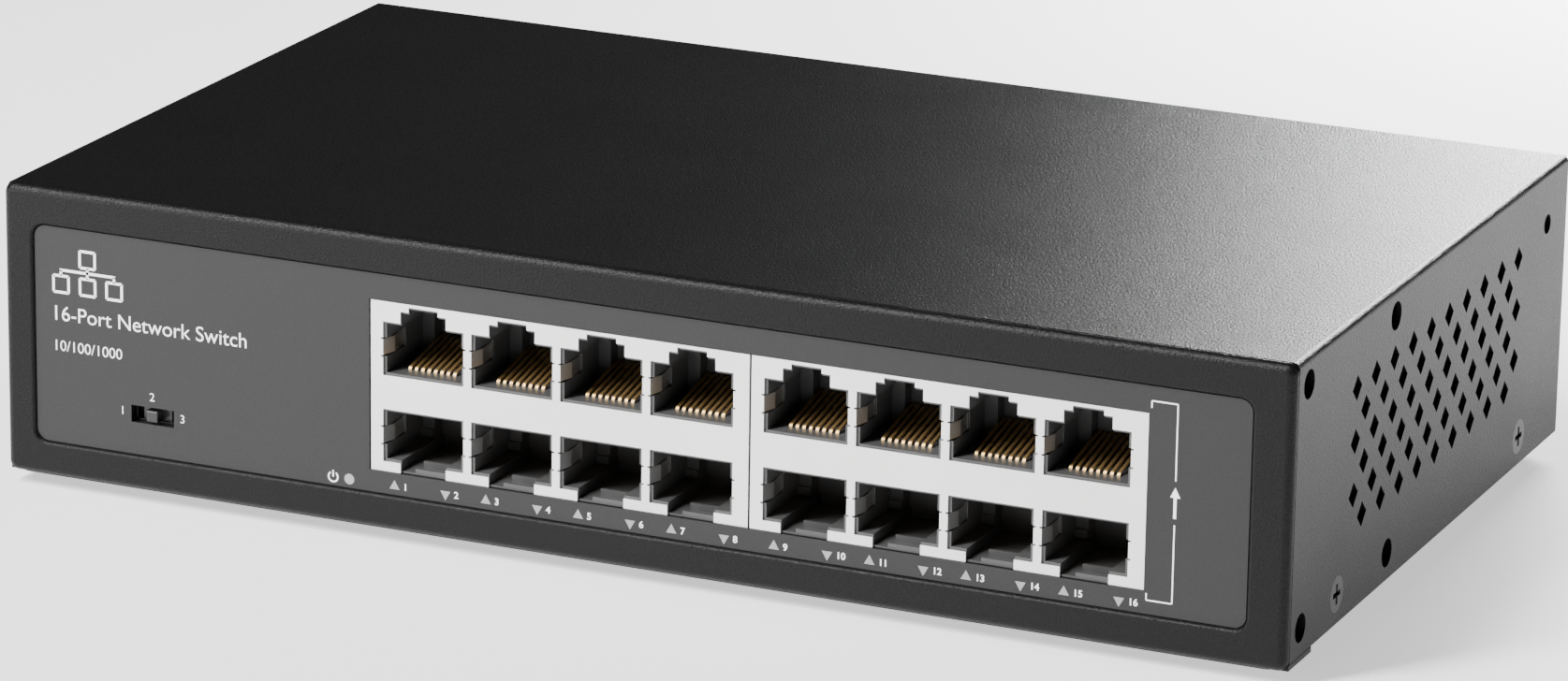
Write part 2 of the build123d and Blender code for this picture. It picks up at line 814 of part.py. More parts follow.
def make_housing(edge):
    """The moulded insulator of one block, with a stepped cavity per port."""
    play = shield_sheet + housing_play
    with BuildPart() as housing:
        with Locations((edge + block_width / 2, jack_y + play, jack_z)):
            Box(block_width - 2 * play, jack_depth - 2 * play, jack_height - play, align=BACK)
        upper = (upper_top + cavity_lip, upper_bottom - cavity_lip)
        lower = (lower_top + cavity_lip, lower_bottom - cavity_lip)
        keys = ((key_wide, key_wide_top + cavity_lip, upper[0] + cavity_lip),
                (key_wide, lower[1] - cavity_lip, jack_height - shield_sheet))
        with BuildSketch(front_plane(jack_setback)):
            socket_outline(edge, cavity_width, upper, lower, keys)
        extrude(amount=-plug_depth, mode=Mode.SUBTRACT)
        with BuildSketch(front_plane(jack_setback)):
            socket_outline(edge, cavity_back_width, upper, lower, keys)
        extrude(amount=-cavity_depth, mode=Mode.SUBTRACT)
        with BuildSketch(front_plane(jack_setback)):
            for x in column_centres(edge):
                top = key_narrow_top + cavity_lip
                bottom = key_wide_top + 2 * cavity_lip
                with Locations((x, jack_top - (top + bottom) / 2)):
                    Rectangle(key_narrow, bottom - top)
        extrude(amount=-key_depth, mode=Mode.SUBTRACT)
        # plug stops in the back corners, and sills in the lower key
        ridge_width = (cavity_width - cavity_back_width) / 2
        for x in column_centres(edge):
            for level, align in ((upper[0] + ridge_lift, DOWN), (lower[1] - ridge_lift, UP)):
                for side in (-1, 1):
                    ridge_x = x + side * (cavity_width - ridge_width) / 2
                    with Locations((ridge_x, jack_y + plug_depth - ridge_proud / 2, jack_top - level)):
                        Box(ridge_width, ridge_proud, ridge_height, align=align)
            for depth, height in zip(sill_depths, sill_heights):
                with Locations((x - sill_left, jack_y + depth, jack_z + shield_sheet)):
                    Box(key_wide / 2 + sill_left, sill_sheet, height, align=CORNER)
        # room for the shield's spring tabs
        with BuildSketch(front_plane(jack_setback)):
            for x in column_centres(edge):
                for level in (upper_tab_z, lower_tab_z):
                    with Locations((x, jack_top - level)):
                        Rectangle(jack_opening + 2 * tab_play, tab_height + 2 * tab_play)
        extrude(amount=-tab_length - tab_play, mode=Mode.SUBTRACT)
    return housing


def contact_line(floor, up):
    """One spring contact's path, from its root in the plastic to its tip in the back wall."""
    start = jack_y + contact_root_y
    back = jack_y + cavity_depth
    FilletPolyline((start, floor - up * contact_root_depth),
                   (start, floor + up * contact_low),
                   (jack_y + contact_reach, floor + up * contact_rise),
                   (back + contact_root_depth, floor + up * contact_rise), radius=contact_bend)


def make_contacts(edge):
    """Eight gilt spring contacts per port."""
    planes = []
    for x in column_centres(edge):
        for k in range(contact_count):
            planes.append(Plane.YZ.offset(x + (k - (contact_count - 1) / 2) * contact_pitch))
    with BuildPart() as contacts:
        with BuildSketch(*planes):
            with BuildLine():
                contact_line(jack_top - upper_bottom + cavity_lip, 1)
                contact_line(jack_top - lower_top - cavity_lip, -1)
            trace(line_width=contact_thickness)
        extrude(amount=contact_width / 2, both=True)
    return contacts


for side, edge in block_edges.items():
    jack_shield = make_shield(edge)
    jack_shield.part.label = f"jack_shield_{side}"
    export_step(jack_shield.part, f"parts/jack_shield_{side}.step")
    jack_housing = make_housing(edge)
    jack_housing.part.label = f"jack_housing_{side}"
    export_step(jack_housing.part, f"parts/jack_housing_{side}.step")
    jack_contacts = make_contacts(edge)
    jack_contacts.part.label = f"jack_contacts_{side}"
    export_step(jack_contacts.part, f"parts/jack_contacts_{side}.step")

# ---------------------------------------------------------------- mode slide switch
slider_room = slider_width + 2 * lever_travel + 2 * lever_play
slot_width = lever_width + 2 * lever_travel + 2 * lever_play
slot_height = lever_height + 2 * lever_play
body_y = switch_y + switch_plate

with BuildPart() as switch_base:
    with Locations((switch_x, body_y, board_top)):
        Box(switch_body_width, switch_body_depth, switch_body_height, align=BACK)
    with Locations((switch_x, body_y, lever_z - slider_height / 2 - lever_play)):
        Box(slider_room, slider_depth + lever_play, slider_height + 2 * lever_play, align=BACK,
            mode=Mode.SUBTRACT)
    fillet(switch_base.edges().filter_by(Axis.Y).group_by(Axis.Z)[-1], switch_body_edge)
switch_base.part.label = "switch_base"
export_step(switch_base.part, "parts/switch_base.step")

with BuildPart() as switch_frame:
    with Locations((switch_x, switch_y, board_top)):
        Box(switch_body_width, switch_plate, switch_body_height, align=BACK)
    with Locations((switch_x, body_y, board_top + switch_body_height)):
        Box(clasp_width, clasp_depth, switch_plate, align=BACK)
    with Locations((switch_x, switch_y, board_top + switch_body_height)):
        Box(clasp_width, switch_plate, switch_plate, align=BACK)
    with Locations((switch_x, switch_y, lever_z - slot_height / 2)):
        Box(slot_width, switch_plate, slot_height, align=BACK, mode=Mode.SUBTRACT)
switch_frame.part.label = "switch_frame"
export_step(switch_frame.part, "parts/switch_frame.step")

with BuildPart() as switch_lever:
    lever_front = y_front + label_face - lever_proud
    with Locations((switch_x, body_y + lever_play / 2, lever_z - slider_height / 2)):
        Box(slider_width, slider_depth, slider_height, align=BACK)
    with Locations((switch_x, lever_front, lever_z - lever_height / 2)):
        Box(lever_width, body_y + slider_depth - lever_front, lever_height, align=BACK)
    fillet(switch_lever.faces().sort_by(Axis.Y)[0].edges(), lever_edge)
switch_lever.part.label = "switch_lever"
export_step(switch_lever.part, "parts/switch_lever.step")

with BuildPart() as switch_terminals:
    terminal_xs = [switch_x + (k - (terminal_count - 1) / 2) * terminal_pitch for k in range(terminal_count)]
    with Locations([(x, body_y + switch_body_depth, board_top) for x in terminal_xs]):
        Box(terminal_width, terminal_sheet, terminal_height, align=BACK)
        Box(terminal_width, terminal_foot, terminal_sheet, align=BACK)
switch_terminals.part.label = "switch_terminals"
export_step(switch_terminals.part, "parts/switch_terminals.step")

# ---------------------------------------------------------------- parts on the main board
magnetics_y = jack_y + jack_depth + magnetics_gap
magnetics_pitch = (jacks_right - jacks_left) / magnetics_count

with BuildPart() as magnetics_master:
    body_half = magnetics_width / 2 - lead_reach
    with Locations((0, 0, lead_lift)):
        Box(2 * body_half, magnetics_depth, magnetics_height - lead_lift, align=UP)
    chamfer(magnetics_master.edges().filter_by(Axis.Y).group_by(Axis.Z)[-1], magnetics_edge)
    # gull-wing leads along both sides
    with BuildSketch(Plane.XZ):
        for side in (-1, 1):
            with BuildLine():
                Polyline((side * body_half, lead_lift + lead_sheet),
                         (side * (body_half + lead_reach / 2), lead_lift + lead_sheet),
                         (side * (body_half + lead_reach / 2), lead_sheet / 2),
                         (side * (body_half + lead_reach), lead_sheet / 2))
            trace(line_width=lead_sheet)
    extrude(amount=magnetics_depth / 2 - lead_end_gap, both=True)
    # cut the two strips into separate leads
    lead_step = (magnetics_depth - 2 * lead_end_gap) / lead_count
    for side in (-1, 1):
        with Locations((side * (body_half + lead_reach / 2 + lead_sheet), 0, 0)):
            with GridLocations(1, lead_step, 1, lead_count):
                Box(lead_reach + lead_sheet, lead_step / 2, magnetics_height, align=UP, mode=Mode.SUBTRACT)

for number in range(magnetics_count):
    x = jacks_left + (number + 0.5) * magnetics_pitch
    with BuildPart() as magnetics_module:
        with Locations((x, magnetics_y + magnetics_depth / 2, board_top)):
            add(magnetics_master.part)
    magnetics_module.part.label = f"magnetics_module_{number + 1}"
    export_step(magnetics_module.part, f"parts/magnetics_module_{number + 1}.step")

chip_y = board_back_y - chip_back
with BuildPart() as switch_chip:
    with Locations((chip_x, chip_y, board_top)):
        Box(chip_size, chip_size, chip_height, align=UP)
    chamfer(switch_chip.faces().sort_by(Axis.Z)[-1].edges(), chip_edge)
switch_chip.part.label = "switch_chip"
export_step(switch_chip.part, "parts/switch_chip.step")

with BuildPart() as heat_sink:
    seat = board_top + chip_height
    with Locations((chip_x, chip_y, seat)):
        Box(sink_size, sink_size, sink_base, align=UP)
    fin_step = (sink_size - sink_fin) / (sink_fin_count - 1)
    with Locations((chip_x, chip_y, seat + sink_base)):
        with GridLocations(fin_step, 1, sink_fin_count, 1):
            Box(sink_fin, sink_size, sink_fin_height, align=UP)
    with Locations((chip_x, chip_y, seat + sink_base)):
        Box(sink_size, sink_slot, sink_fin_height, align=UP, mode=Mode.SUBTRACT)
heat_sink.part.label = "heat_sink"
export_step(heat_sink.part, "parts/heat_sink.step")

small_y = board_back_y - small_part_back
with BuildPart() as memory_chip:
    with Locations((memory_x, small_y, board_top)):
        Box(memory_side, memory_side, memory_height, align=UP)
        with GridLocations(memory_lead_spread, memory_lead_pitch, 2, memory_lead_rows):
            Box(*memory_lead_size, align=UP)
memory_chip.part.label = "memory_chip"
export_step(memory_chip.part, "parts/memory_chip.step")

with BuildPart() as crystal:
    with BuildSketch(Plane.XY.offset(board_top)):
        with Locations((crystal_x, small_y)):
            SlotOverall(crystal_length, crystal_width)
    extrude(amount=crystal_height)
    fillet(crystal.faces().sort_by(Axis.Z)[-1].edges(), crystal_edge)
crystal.part.label = "crystal"
export_step(crystal.part, "parts/crystal.step")

with BuildPart() as power_inductors:
    with Locations([(x, small_y, board_top) for x in inductor_xs]):
        Box(inductor_side, inductor_side, inductor_height, align=UP)
        Cylinder(inductor_core_radius, inductor_core_height, align=UP)
power_inductors.part.label = "power_inductors"
export_step(power_inductors.part, "parts/power_inductors.step")


def can_capacitor(x, y, radius, height):
    """An upright electrolytic can with its beaded neck and scored top."""
    with Locations((x, y, board_top)):
        Cylinder(radius, height, align=UP)
    with Locations((x, y, board_top + height * can_neck)):
        Torus(radius, radius * can_bead, mode=Mode.SUBTRACT)
    with Locations((x, y, board_top + height)):
        Box(radius * can_score, can_score_width, can_score_width, align=DOWN, mode=Mode.SUBTRACT)
        Box(can_score_width, radius * can_score, can_score_width, align=DOWN, mode=Mode.SUBTRACT)


with BuildPart() as board_capacitors:
    for x, y in board_can_places:
        can_capacitor(x, small_y + y, board_can_radius, board_can_height)
board_capacitors.part.label = "board_capacitors"
export_step(board_capacitors.part, "parts/board_capacitors.step")

# headers for the supply's lead: one on each board
with BuildPart() as board_header:
    with Locations((header_x, header_y, board_top)):
        Box(header_width, header_depth, header_height, align=UP)
    with Locations((header_x, header_y, board_top + header_floor)):
        Box(header_width - 2 * header_wall, header_depth - 2 * header_wall, header_height, align=UP,
            mode=Mode.SUBTRACT)
board_header.part.label = "board_header"
export_step(board_header.part, "parts/board_header.step")

# ---------------------------------------------------------------- mains inlet
with BuildPart() as mains_inlet:
    with BuildSketch(rear_plane(0)):
        with Locations((-inlet_x, inlet_centre_z)):
            RectangleRounded(inlet_flange_width, inlet_flange_height, inlet_flange_corner)
    extrude(amount=inlet_stand)
    with BuildSketch(rear_plane(0)):
        with Locations((-inlet_x, inlet_centre_z)):
            Rectangle(inlet_body_width, inlet_body_height)
    extrude(amount=-(inlet_body_depth - inlet_stand))
    # mouth with two cut corners at the bottom
    with BuildSketch(rear_plane(inlet_stand)) as mouth:
        with Locations((-inlet_x, inlet_centre_z)):
            Rectangle(inlet_mouth_width, inlet_mouth_height)
        chamfer(mouth.vertices().group_by(Axis.Y)[0], inlet_mouth_corner)
    extrude(amount=-inlet_mouth_depth, mode=Mode.SUBTRACT)
    with BuildSketch(rear_plane(inlet_stand)):
        with Locations((-inlet_x - inlet_screw_spacing / 2, inlet_centre_z),
                       (-inlet_x + inlet_screw_spacing / 2, inlet_centre_z)):
            Circle(sink_radius)
    extrude(amount=-sink_depth, taper=45, mode=Mode.SUBTRACT)
    with BuildSketch(rear_plane(inlet_stand)):
        with Locations((-inlet_x - inlet_screw_spacing / 2, inlet_centre_z),
                       (-inlet_x + inlet_screw_spacing / 2, inlet_centre_z)):
            Circle(screw_radius)
    extrude(amount=-inlet_stand, mode=Mode.SUBTRACT)
    # slots for the pins
    pin_places = [(-inlet_x - inlet_pin_spread, inlet_centre_z - inlet_pin_offset),
                  (-inlet_x + inlet_pin_spread, inlet_centre_z - inlet_pin_offset),
                  (-inlet_x, inlet_centre_z + inlet_pin_offset)]
    with BuildSketch(rear_plane(inlet_stand - inlet_mouth_depth)):
        with Locations(pin_places):
            Rectangle(inlet_pin_width, inlet_pin_height)
    extrude(amount=-inlet_body_depth, mode=Mode.SUBTRACT)
mains_inlet.part.label = "mains_inlet"
export_step(mains_inlet.part, "parts/mains_inlet.step")

with BuildPart() as inlet_pins:
    with BuildSketch(rear_plane(inlet_stand - inlet_pin_tip)):
        with Locations(pin_places):
            Rectangle(inlet_pin_width, inlet_pin_height)
    extrude(amount=-(inlet_body_depth - inlet_pin_tip))
    fillet(inlet_pins.faces().group_by(Axis.Y)[-1].edges(), inlet_pin_edge)
    # flat tails for the leads
    with BuildSketch(rear_plane(inlet_stand - inlet_body_depth)):
        with Locations(pin_places):
            Rectangle(inlet_tail_sheet, inlet_pin_height)
    extrude(amount=-inlet_tail)
inlet_pins.part.label = "inlet_pins"
export_step(inlet_pins.part, "parts/inlet_pins.step")

inlet_screw_set = []
for side in (-1, 1):
    place = (inlet_x + side * inlet_screw_spacing / 2, y_rear + inlet_stand, inlet_centre_z)
    head = Plane(origin=place, x_dir=(-1, 0, 0), z_dir=(0, 1, 0))
    inlet_screw_set.append(sunk_screw(head, inlet_screw_length))
with BuildPart() as inlet_screws:
    add(inlet_screw_set)
inlet_screws.part.label = "inlet_screws"
export_step(inlet_screws.part, "parts/inlet_screws.step")

# ---------------------------------------------------------------- supply board
with BuildPart() as supply_board:
    with BuildSketch(Plane.XY.offset(board_bottom)):
        with Locations((supply_x, supply_y)):
            Rectangle(supply_width, supply_depth)
        with Locations(supply_holes()):
            Circle(board_hole_radius, mode=Mode.SUBTRACT)
    extrude(amount=board_thickness)
supply_board.part.label = "supply_board"
export_step(supply_board.part, "parts/supply_board.step")

# an insulating film lies under the supply board and turns up between the two boards
with BuildPart() as insulating_film:
    film_width = supply_width - 2 * film_margin
    with BuildSketch(Plane.XY.offset(z_floor)):
        with Locations((supply_x, supply_front_y - film_margin)):
            Rectangle(film_width, supply_depth + film_margin, align=(Align.CENTER, Align.MIN))
        with Locations(supply_holes()):
            Circle(standoff_radius + film_clear, mode=Mode.SUBTRACT)
    extrude(amount=film_sheet)
    with Locations((supply_x, supply_front_y - film_margin, z_floor)):
        Box(film_width, film_sheet, film_flap, align=BACK)
insulating_film.part.label = "insulating_film"
export_step(insulating_film.part, "parts/insulating_film.step")


def on_supply(place, lift=0.0):
    """A point on the supply board, from its left end and its middle line."""
    return (supply_left + place[0], supply_y + place[1], board_top + lift)


with BuildPart() as transformer:
    # bobbin rails, winding and the two E cores round it
    with Locations(on_supply(transformer_place)):
        Box(*bobbin_long, bobbin_rail, align=UP)
        Box(*bobbin_short, bobbin_rail, align=UP)
    with Locations(on_supply(transformer_place, bobbin_rail)):
        Box(core_length, core_thickness, core_height, align=UP)
        Cylinder(winding_radius, winding_height, align=UP)
    chamfer(transformer.faces().sort_by(Axis.Z)[-1].edges(), core_edge)
transformer.part.label = "transformer"
export_step(transformer.part, "parts/transformer.step")

with BuildPart() as bulk_capacitor:
    can_capacitor(supply_left + bulk_place[0], supply_y + bulk_place[1], bulk_radius, bulk_height)
bulk_capacitor.part.label = "bulk_capacitor"
export_step(bulk_capacitor.part, "parts/bulk_capacitor.step")

with BuildPart() as output_capacitors:
    for x, y in output_can_places:
        can_capacitor(supply_left + x, supply_y + y, output_can_radius, output_can_height)
output_capacitors.part.label = "output_capacitors"
export_step(output_capacitors.part, "parts/output_capacitors.step")

with BuildPart() as filter_capacitor:
    with Locations(on_supply(filter_place)):
        Box(*filter_size, align=UP)
    fillet(filter_capacitor.edges(), filter_edge)
filter_capacitor.part.label = "filter_capacitor"
export_step(filter_capacitor.part, "parts/filter_capacitor.step")

with BuildPart() as mains_fuse:
    with Locations(on_supply(fuse_place)):
        Cylinder(fuse_radius, fuse_height, align=UP)
    fillet(mains_fuse.edges().group_by(Axis.Z)[-1], fuse_edge)
mains_fuse.part.label = "mains_fuse"
export_step(mains_fuse.part, "parts/mains_fuse.step")

with BuildPart() as choke:
    # a wound ring standing in its base
    with Locations(Location(on_supply(choke_place, choke_ring + choke_wire + choke_lift), (90, 0, 0))):
        Torus(choke_ring, choke_wire)
    with Locations(on_supply(choke_place)):
        Box(choke_foot_length, choke_foot_width, choke_foot_height, align=UP)
choke.part.label = "choke"
export_step(choke.part, "parts/choke.step")

with BuildPart() as bridge_rectifier:
    with Locations(on_supply(bridge_place, bridge_leg_size[2])):
        Box(*bridge_size, align=UP)
    with Locations(on_supply(bridge_place)):
        with GridLocations(bridge_leg_pitch, 1, bridge_leg_count, 1):
            Box(*bridge_leg_size, align=UP)
bridge_rectifier.part.label = "bridge_rectifier"
export_step(bridge_rectifier.part, "parts/bridge_rectifier.step")

with BuildPart() as supply_heat_sink:
    with Locations(on_supply(cooler_place)):
        Box(cooler_sheet, cooler_depth, cooler_height, align=UP)
    with Locations(on_supply(cooler_place, cooler_height - cooler_sheet)):
        Box(cooler_flange, cooler_depth, cooler_sheet, align=(Align.MIN, Align.CENTER, Align.MIN))
supply_heat_sink.part.label = "supply_heat_sink"
export_step(supply_heat_sink.part, "parts/supply_heat_sink.step")

with BuildPart() as power_transistor:
    tab_face = (cooler_place[0] + cooler_sheet / 2, cooler_place[1])
    with Locations(on_supply(tab_face, transistor_leg[2])):
        Box(*transistor_size, align=(Align.MIN, Align.CENTER, Align.MIN))
    with Locations(on_supply((tab_face[0] + transistor_size[0] / 2, tab_face[1]))):
        with GridLocations(1, transistor_leg_pitch, 1, transistor_leg_count):
            Box(*transistor_leg, align=UP)
power_transistor.part.label = "power_transistor"
export_step(power_transistor.part, "parts/power_transistor.step")

with BuildPart() as supply_headers:
    for x, y, width, depth in ((*mains_header, header_depth, header_width),
                               (*output_header, header_width, header_depth)):
        with Locations((x, y, board_top)):
            Box(width, depth, header_height, align=UP)
        with Locations((x, y, board_top + header_floor)):
            Box(width - 2 * header_wall, depth - 2 * header_wall, header_height, align=UP,
                mode=Mode.SUBTRACT)
supply_headers.part.label = "supply_headers"
export_step(supply_headers.part, "parts/supply_headers.step")


# ---------------------------------------------------------------- leads held inside the case
def make_lead(*points):
    """A round insulated lead: straight runs joined by arcs."""
    with BuildPart() as lead:
        with BuildLine():
            route = FilletPolyline(*points, radius=wire_bend)
        with BuildSketch(Plane(origin=route @ 0, z_dir=route % 0)):
            Circle(wire_radius)
        sweep()
    return lead


plug_inside = board_top + header_floor
pin_z = inlet_centre_z - inlet_pin_offset
mains_leads = {}
for name, side in (("live_lead", -1), ("neutral_lead", 1)):
    x = inlet_x - side * inlet_pin_spread
    y = mains_header[1] - side * header_pitch / 2
    mains_leads[name] = make_lead((x, tail_y, pin_z), (x, y, pin_z), (mains_header[0], y, pin_z),
                                  (mains_header[0], y, plug_inside))
for name, mains_lead in mains_leads.items():
    mains_lead.part.label = name
    export_step(mains_lead.part, f"parts/{name}.step")

output_lead_set = []
for side in (-1, 1):
    shift = side * header_pitch / 2
    start_x = output_header[0] + shift
    end_x = header_x + shift
    output_lead = make_lead((start_x, output_header[1], plug_inside), (start_x, output_header[1], lead_top),
                            (end_x, header_y, lead_top), (end_x, header_y, plug_inside))
    output_lead_set.append(output_lead.part)
with BuildPart() as output_leads:
    add(output_lead_set)
output_leads.part.label = "output_leads"
export_step(output_leads.part, "parts/output_leads.step")

# the earth lead ends in a ring tag on the base's stud
earth_z = inlet_centre_z + inlet_pin_offset
earth_wire = make_lead((inlet_x, tail_y, earth_z), (inlet_x, earth_y, earth_z), (earth_x, earth_y, earth_z),
                       (earth_x, earth_y, z_floor + tag_barrel_height))
with BuildPart() as earth_lead:
    add(earth_wire.part)
    with Locations((earth_x, earth_y, z_floor)):
        Cylinder(tag_barrel_radius, tag_barrel_height, align=UP)
    with BuildSketch(Plane.XY.offset(z_floor)):
        with Locations((earth_x, earth_stud_y)):
            Circle(tag_radius)
        with Locations((earth_x, (earth_stud_y + earth_y) / 2)):
            Rectangle(2 * tag_barrel_radius, earth_y - earth_stud_y)
        with Locations((earth_x, earth_stud_y)):
            Circle(screw_radius, mode=Mode.SUBTRACT)
    extrude(amount=tag_sheet)
earth_lead.part.label = "earth_lead"
export_step(earth_lead.part, "parts/earth_lead.step")

# one kind of nut: two on the inlet's screws, one on the earth stud
with BuildPart() as case_nuts:
    with BuildSketch(Plane(origin=(0, y_rear - base_sheet, 0), x_dir=(1, 0, 0), z_dir=(0, -1, 0))):
        with Locations((inlet_x - inlet_screw_spacing / 2, inlet_centre_z),
                       (inlet_x + inlet_screw_spacing / 2, inlet_centre_z)):
            RegularPolygon(nut_radius, 6)
            Circle(screw_radius, mode=Mode.SUBTRACT)
    extrude(amount=nut_height)
    with BuildSketch(Plane.XY.offset(z_floor + tag_sheet)):
        with Locations((earth_x, earth_stud_y)):
            RegularPolygon(nut_radius, 6)
            Circle(screw_radius, mode=Mode.SUBTRACT)
    extrude(amount=nut_height)
case_nuts.part.label = "case_nuts"
export_step(case_nuts.part, "parts/case_nuts.step")
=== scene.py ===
import json
import math

import bmesh
import bpy
from mathutils import Matrix, Vector


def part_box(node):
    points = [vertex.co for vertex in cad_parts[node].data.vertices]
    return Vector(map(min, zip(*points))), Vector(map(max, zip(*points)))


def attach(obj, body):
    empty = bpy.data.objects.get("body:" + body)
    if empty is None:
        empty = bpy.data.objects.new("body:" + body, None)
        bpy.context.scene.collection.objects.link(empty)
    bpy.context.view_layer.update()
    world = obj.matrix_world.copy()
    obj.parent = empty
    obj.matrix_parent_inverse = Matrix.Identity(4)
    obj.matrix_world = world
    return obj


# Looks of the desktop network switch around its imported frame: materials for every node, the generic
# print on the label, a pale floor, soft studio light and the camera.

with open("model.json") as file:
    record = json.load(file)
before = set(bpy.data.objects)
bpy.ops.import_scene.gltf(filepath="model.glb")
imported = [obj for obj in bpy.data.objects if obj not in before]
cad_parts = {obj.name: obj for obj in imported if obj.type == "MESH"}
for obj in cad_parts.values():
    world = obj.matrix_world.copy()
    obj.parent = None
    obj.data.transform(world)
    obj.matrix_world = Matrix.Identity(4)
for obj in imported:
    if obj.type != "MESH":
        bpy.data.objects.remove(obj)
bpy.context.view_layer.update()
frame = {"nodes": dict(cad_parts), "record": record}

MM = 0.001

# ---------------------------------------------------------------- camera, seen from the case's front
CAMERA_AZIMUTH = 23.81
CAMERA_ELEVATION = 17.15
CAMERA_ROLL = 0.868
CAMERA_DISTANCE = 998.1 * MM
CAMERA_LENS = 161.65
AIM_RIGHT = 23.02 * MM     # the aim lies this far right of and above the front's bottom middle,
AIM_UP = 32.29 * MM        # in the camera's own directions


def camera_axes(azimuth, elevation, roll):
    """The camera's right, up and back directions."""
    a = math.radians(azimuth)
    e = math.radians(elevation)
    t = math.radians(roll)
    back = Vector((math.sin(a) * math.cos(e), -math.cos(a) * math.cos(e), math.sin(e)))
    right = Vector((math.cos(a), math.sin(a), 0))
    up = back.cross(right)
    rolled_right = right * math.cos(t) + up * math.sin(t)
    rolled_up = up * math.cos(t) - right * math.sin(t)
    return rolled_right, rolled_up, back


def make_camera():
    right, up, back = camera_axes(CAMERA_AZIMUTH, CAMERA_ELEVATION, CAMERA_ROLL)
    base_low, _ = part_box("base_pan")
    front_bottom = Vector((0, base_low[1], base_low[2]))
    place = front_bottom + right * AIM_RIGHT + up * AIM_UP + back * CAMERA_DISTANCE
    data = bpy.data.cameras.new("camera")
    data.lens = CAMERA_LENS
    data.sensor_width = 36
    data.clip_start = 0.05
    data.clip_end = 50
    camera = bpy.data.objects.new("camera", data)
    bpy.context.collection.objects.link(camera)
    turn = Matrix((right, up, back)).transposed()
    camera.matrix_world = Matrix.Translation(place) @ turn.to_4x4()
    bpy.context.scene.camera = camera


make_camera()


# ---------------------------------------------------------------- node helpers
def new_material(name):
    """An empty material with its Principled shader."""
    material = bpy.data.materials.new(name)
    material.use_nodes = True
    tree = material.node_tree
    shader = tree.nodes["Principled BSDF"]
    return material, tree, shader


def object_coords(tree, scale=(1, 1, 1)):
    coords = tree.nodes.new("ShaderNodeTexCoord")
    mapping = tree.nodes.new("ShaderNodeMapping")
    mapping.inputs["Scale"].default_value = scale
    tree.links.new(coords.outputs["Object"], mapping.inputs["Vector"])
    return mapping.outputs["Vector"]


def noise(tree, vector, scale, detail=3.0, rough=0.5):
    node = tree.nodes.new("ShaderNodeTexNoise")
    node.inputs["Scale"].default_value = scale
    node.inputs["Detail"].default_value = detail
    node.inputs["Roughness"].default_value = rough
    tree.links.new(vector, node.inputs["Vector"])
    return node.outputs["Fac"]


def ramp(tree, value, stops):
    """Maps a value through colour stops: (position, grey or colour)."""
    node = tree.nodes.new("ShaderNodeValToRGB")
    elements = node.color_ramp.elements
    while len(elements) < len(stops):
        elements.new(0.5)
    for element, (position, colour) in zip(elements, stops):
        element.position = position
        if isinstance(colour, (int, float)):
            colour = (colour, colour, colour)
        element.color = (*colour, 1)
    tree.links.new(value, node.inputs["Fac"])
    return node.outputs["Color"]


def map_range(tree, value, low, high):
    node = tree.nodes.new("ShaderNodeMapRange")
    node.inputs["To Min"].default_value = low
    node.inputs["To Max"].default_value = high
    tree.links.new(value, node.inputs["Value"])
    return node.outputs["Result"]


def bump(tree, shader, height, strength, distance):
    node = tree.nodes.new("ShaderNodeBump")
    node.inputs["Strength"].default_value = strength
    node.inputs["Distance"].default_value = distance
    tree.links.new(height, node.inputs["Height"])
    tree.links.new(node.outputs["Normal"], shader.inputs["Normal"])


# ---------------------------------------------------------------- materials
def powder_coat():
    """Fine-textured black powder coat."""
    material, tree, shader = new_material("powder_coat")
    vector = object_coords(tree)
    grain = noise(tree, vector, 3200, 2.0, 0.6)
    cloud = noise(tree, vector, 60, 3.0)
    colour = ramp(tree, grain, [(0.3, (0.003, 0.003, 0.003)), (0.7, (0.009, 0.009, 0.0092))])
    tree.links.new(colour, shader.inputs["Base Color"])
    tree.links.new(map_range(tree, cloud, 0.33, 0.38), shader.inputs["Roughness"])
    shader.inputs["Specular IOR Level"].default_value = 0.14
    bump(tree, shader, grain, 0.9, 0.00012)
    return material


def label_film():
    """Dark grey printed film with a faint emboss."""
    material, tree, shader = new_material("label_film")
    vector = object_coords(tree)
    grain = noise(tree, vector, 4200, 2.0, 0.6)
    colour = ramp(tree, grain, [(0.3, (0.012, 0.012, 0.0125)), (0.7, (0.020, 0.020, 0.0205))])
    tree.links.new(colour, shader.inputs["Base Color"])
    shader.inputs["Roughness"].default_value = 0.5
    shader.inputs["Specular IOR Level"].default_value = 0.35
    bump(tree, shader, grain, 0.25, 0.00005)
    return material


def plated_metal(name, colour, roughness, streak=0.04):
    """Nickel or zinc plate: faint rolling streaks along X."""
    material, tree, shader = new_material(name)
    vector = object_coords(tree, (0.06, 1, 1))
    streaks = noise(tree, vector, 2600, 3.0, 0.6)
    cloud = noise(tree, object_coords(tree), 90, 3.0)
    dark = tuple(c * 0.93 for c in colour)
    tree.links.new(ramp(tree, cloud, [(0.3, dark), (0.7, colour)]), shader.inputs["Base Color"])
    shader.inputs["Metallic"].default_value = 1.0
    roughened = map_range(tree, streaks, roughness - streak, roughness + streak)
    tree.links.new(roughened, shader.inputs["Roughness"])
    bump(tree, shader, streaks, 0.06, 0.00002)
    return material


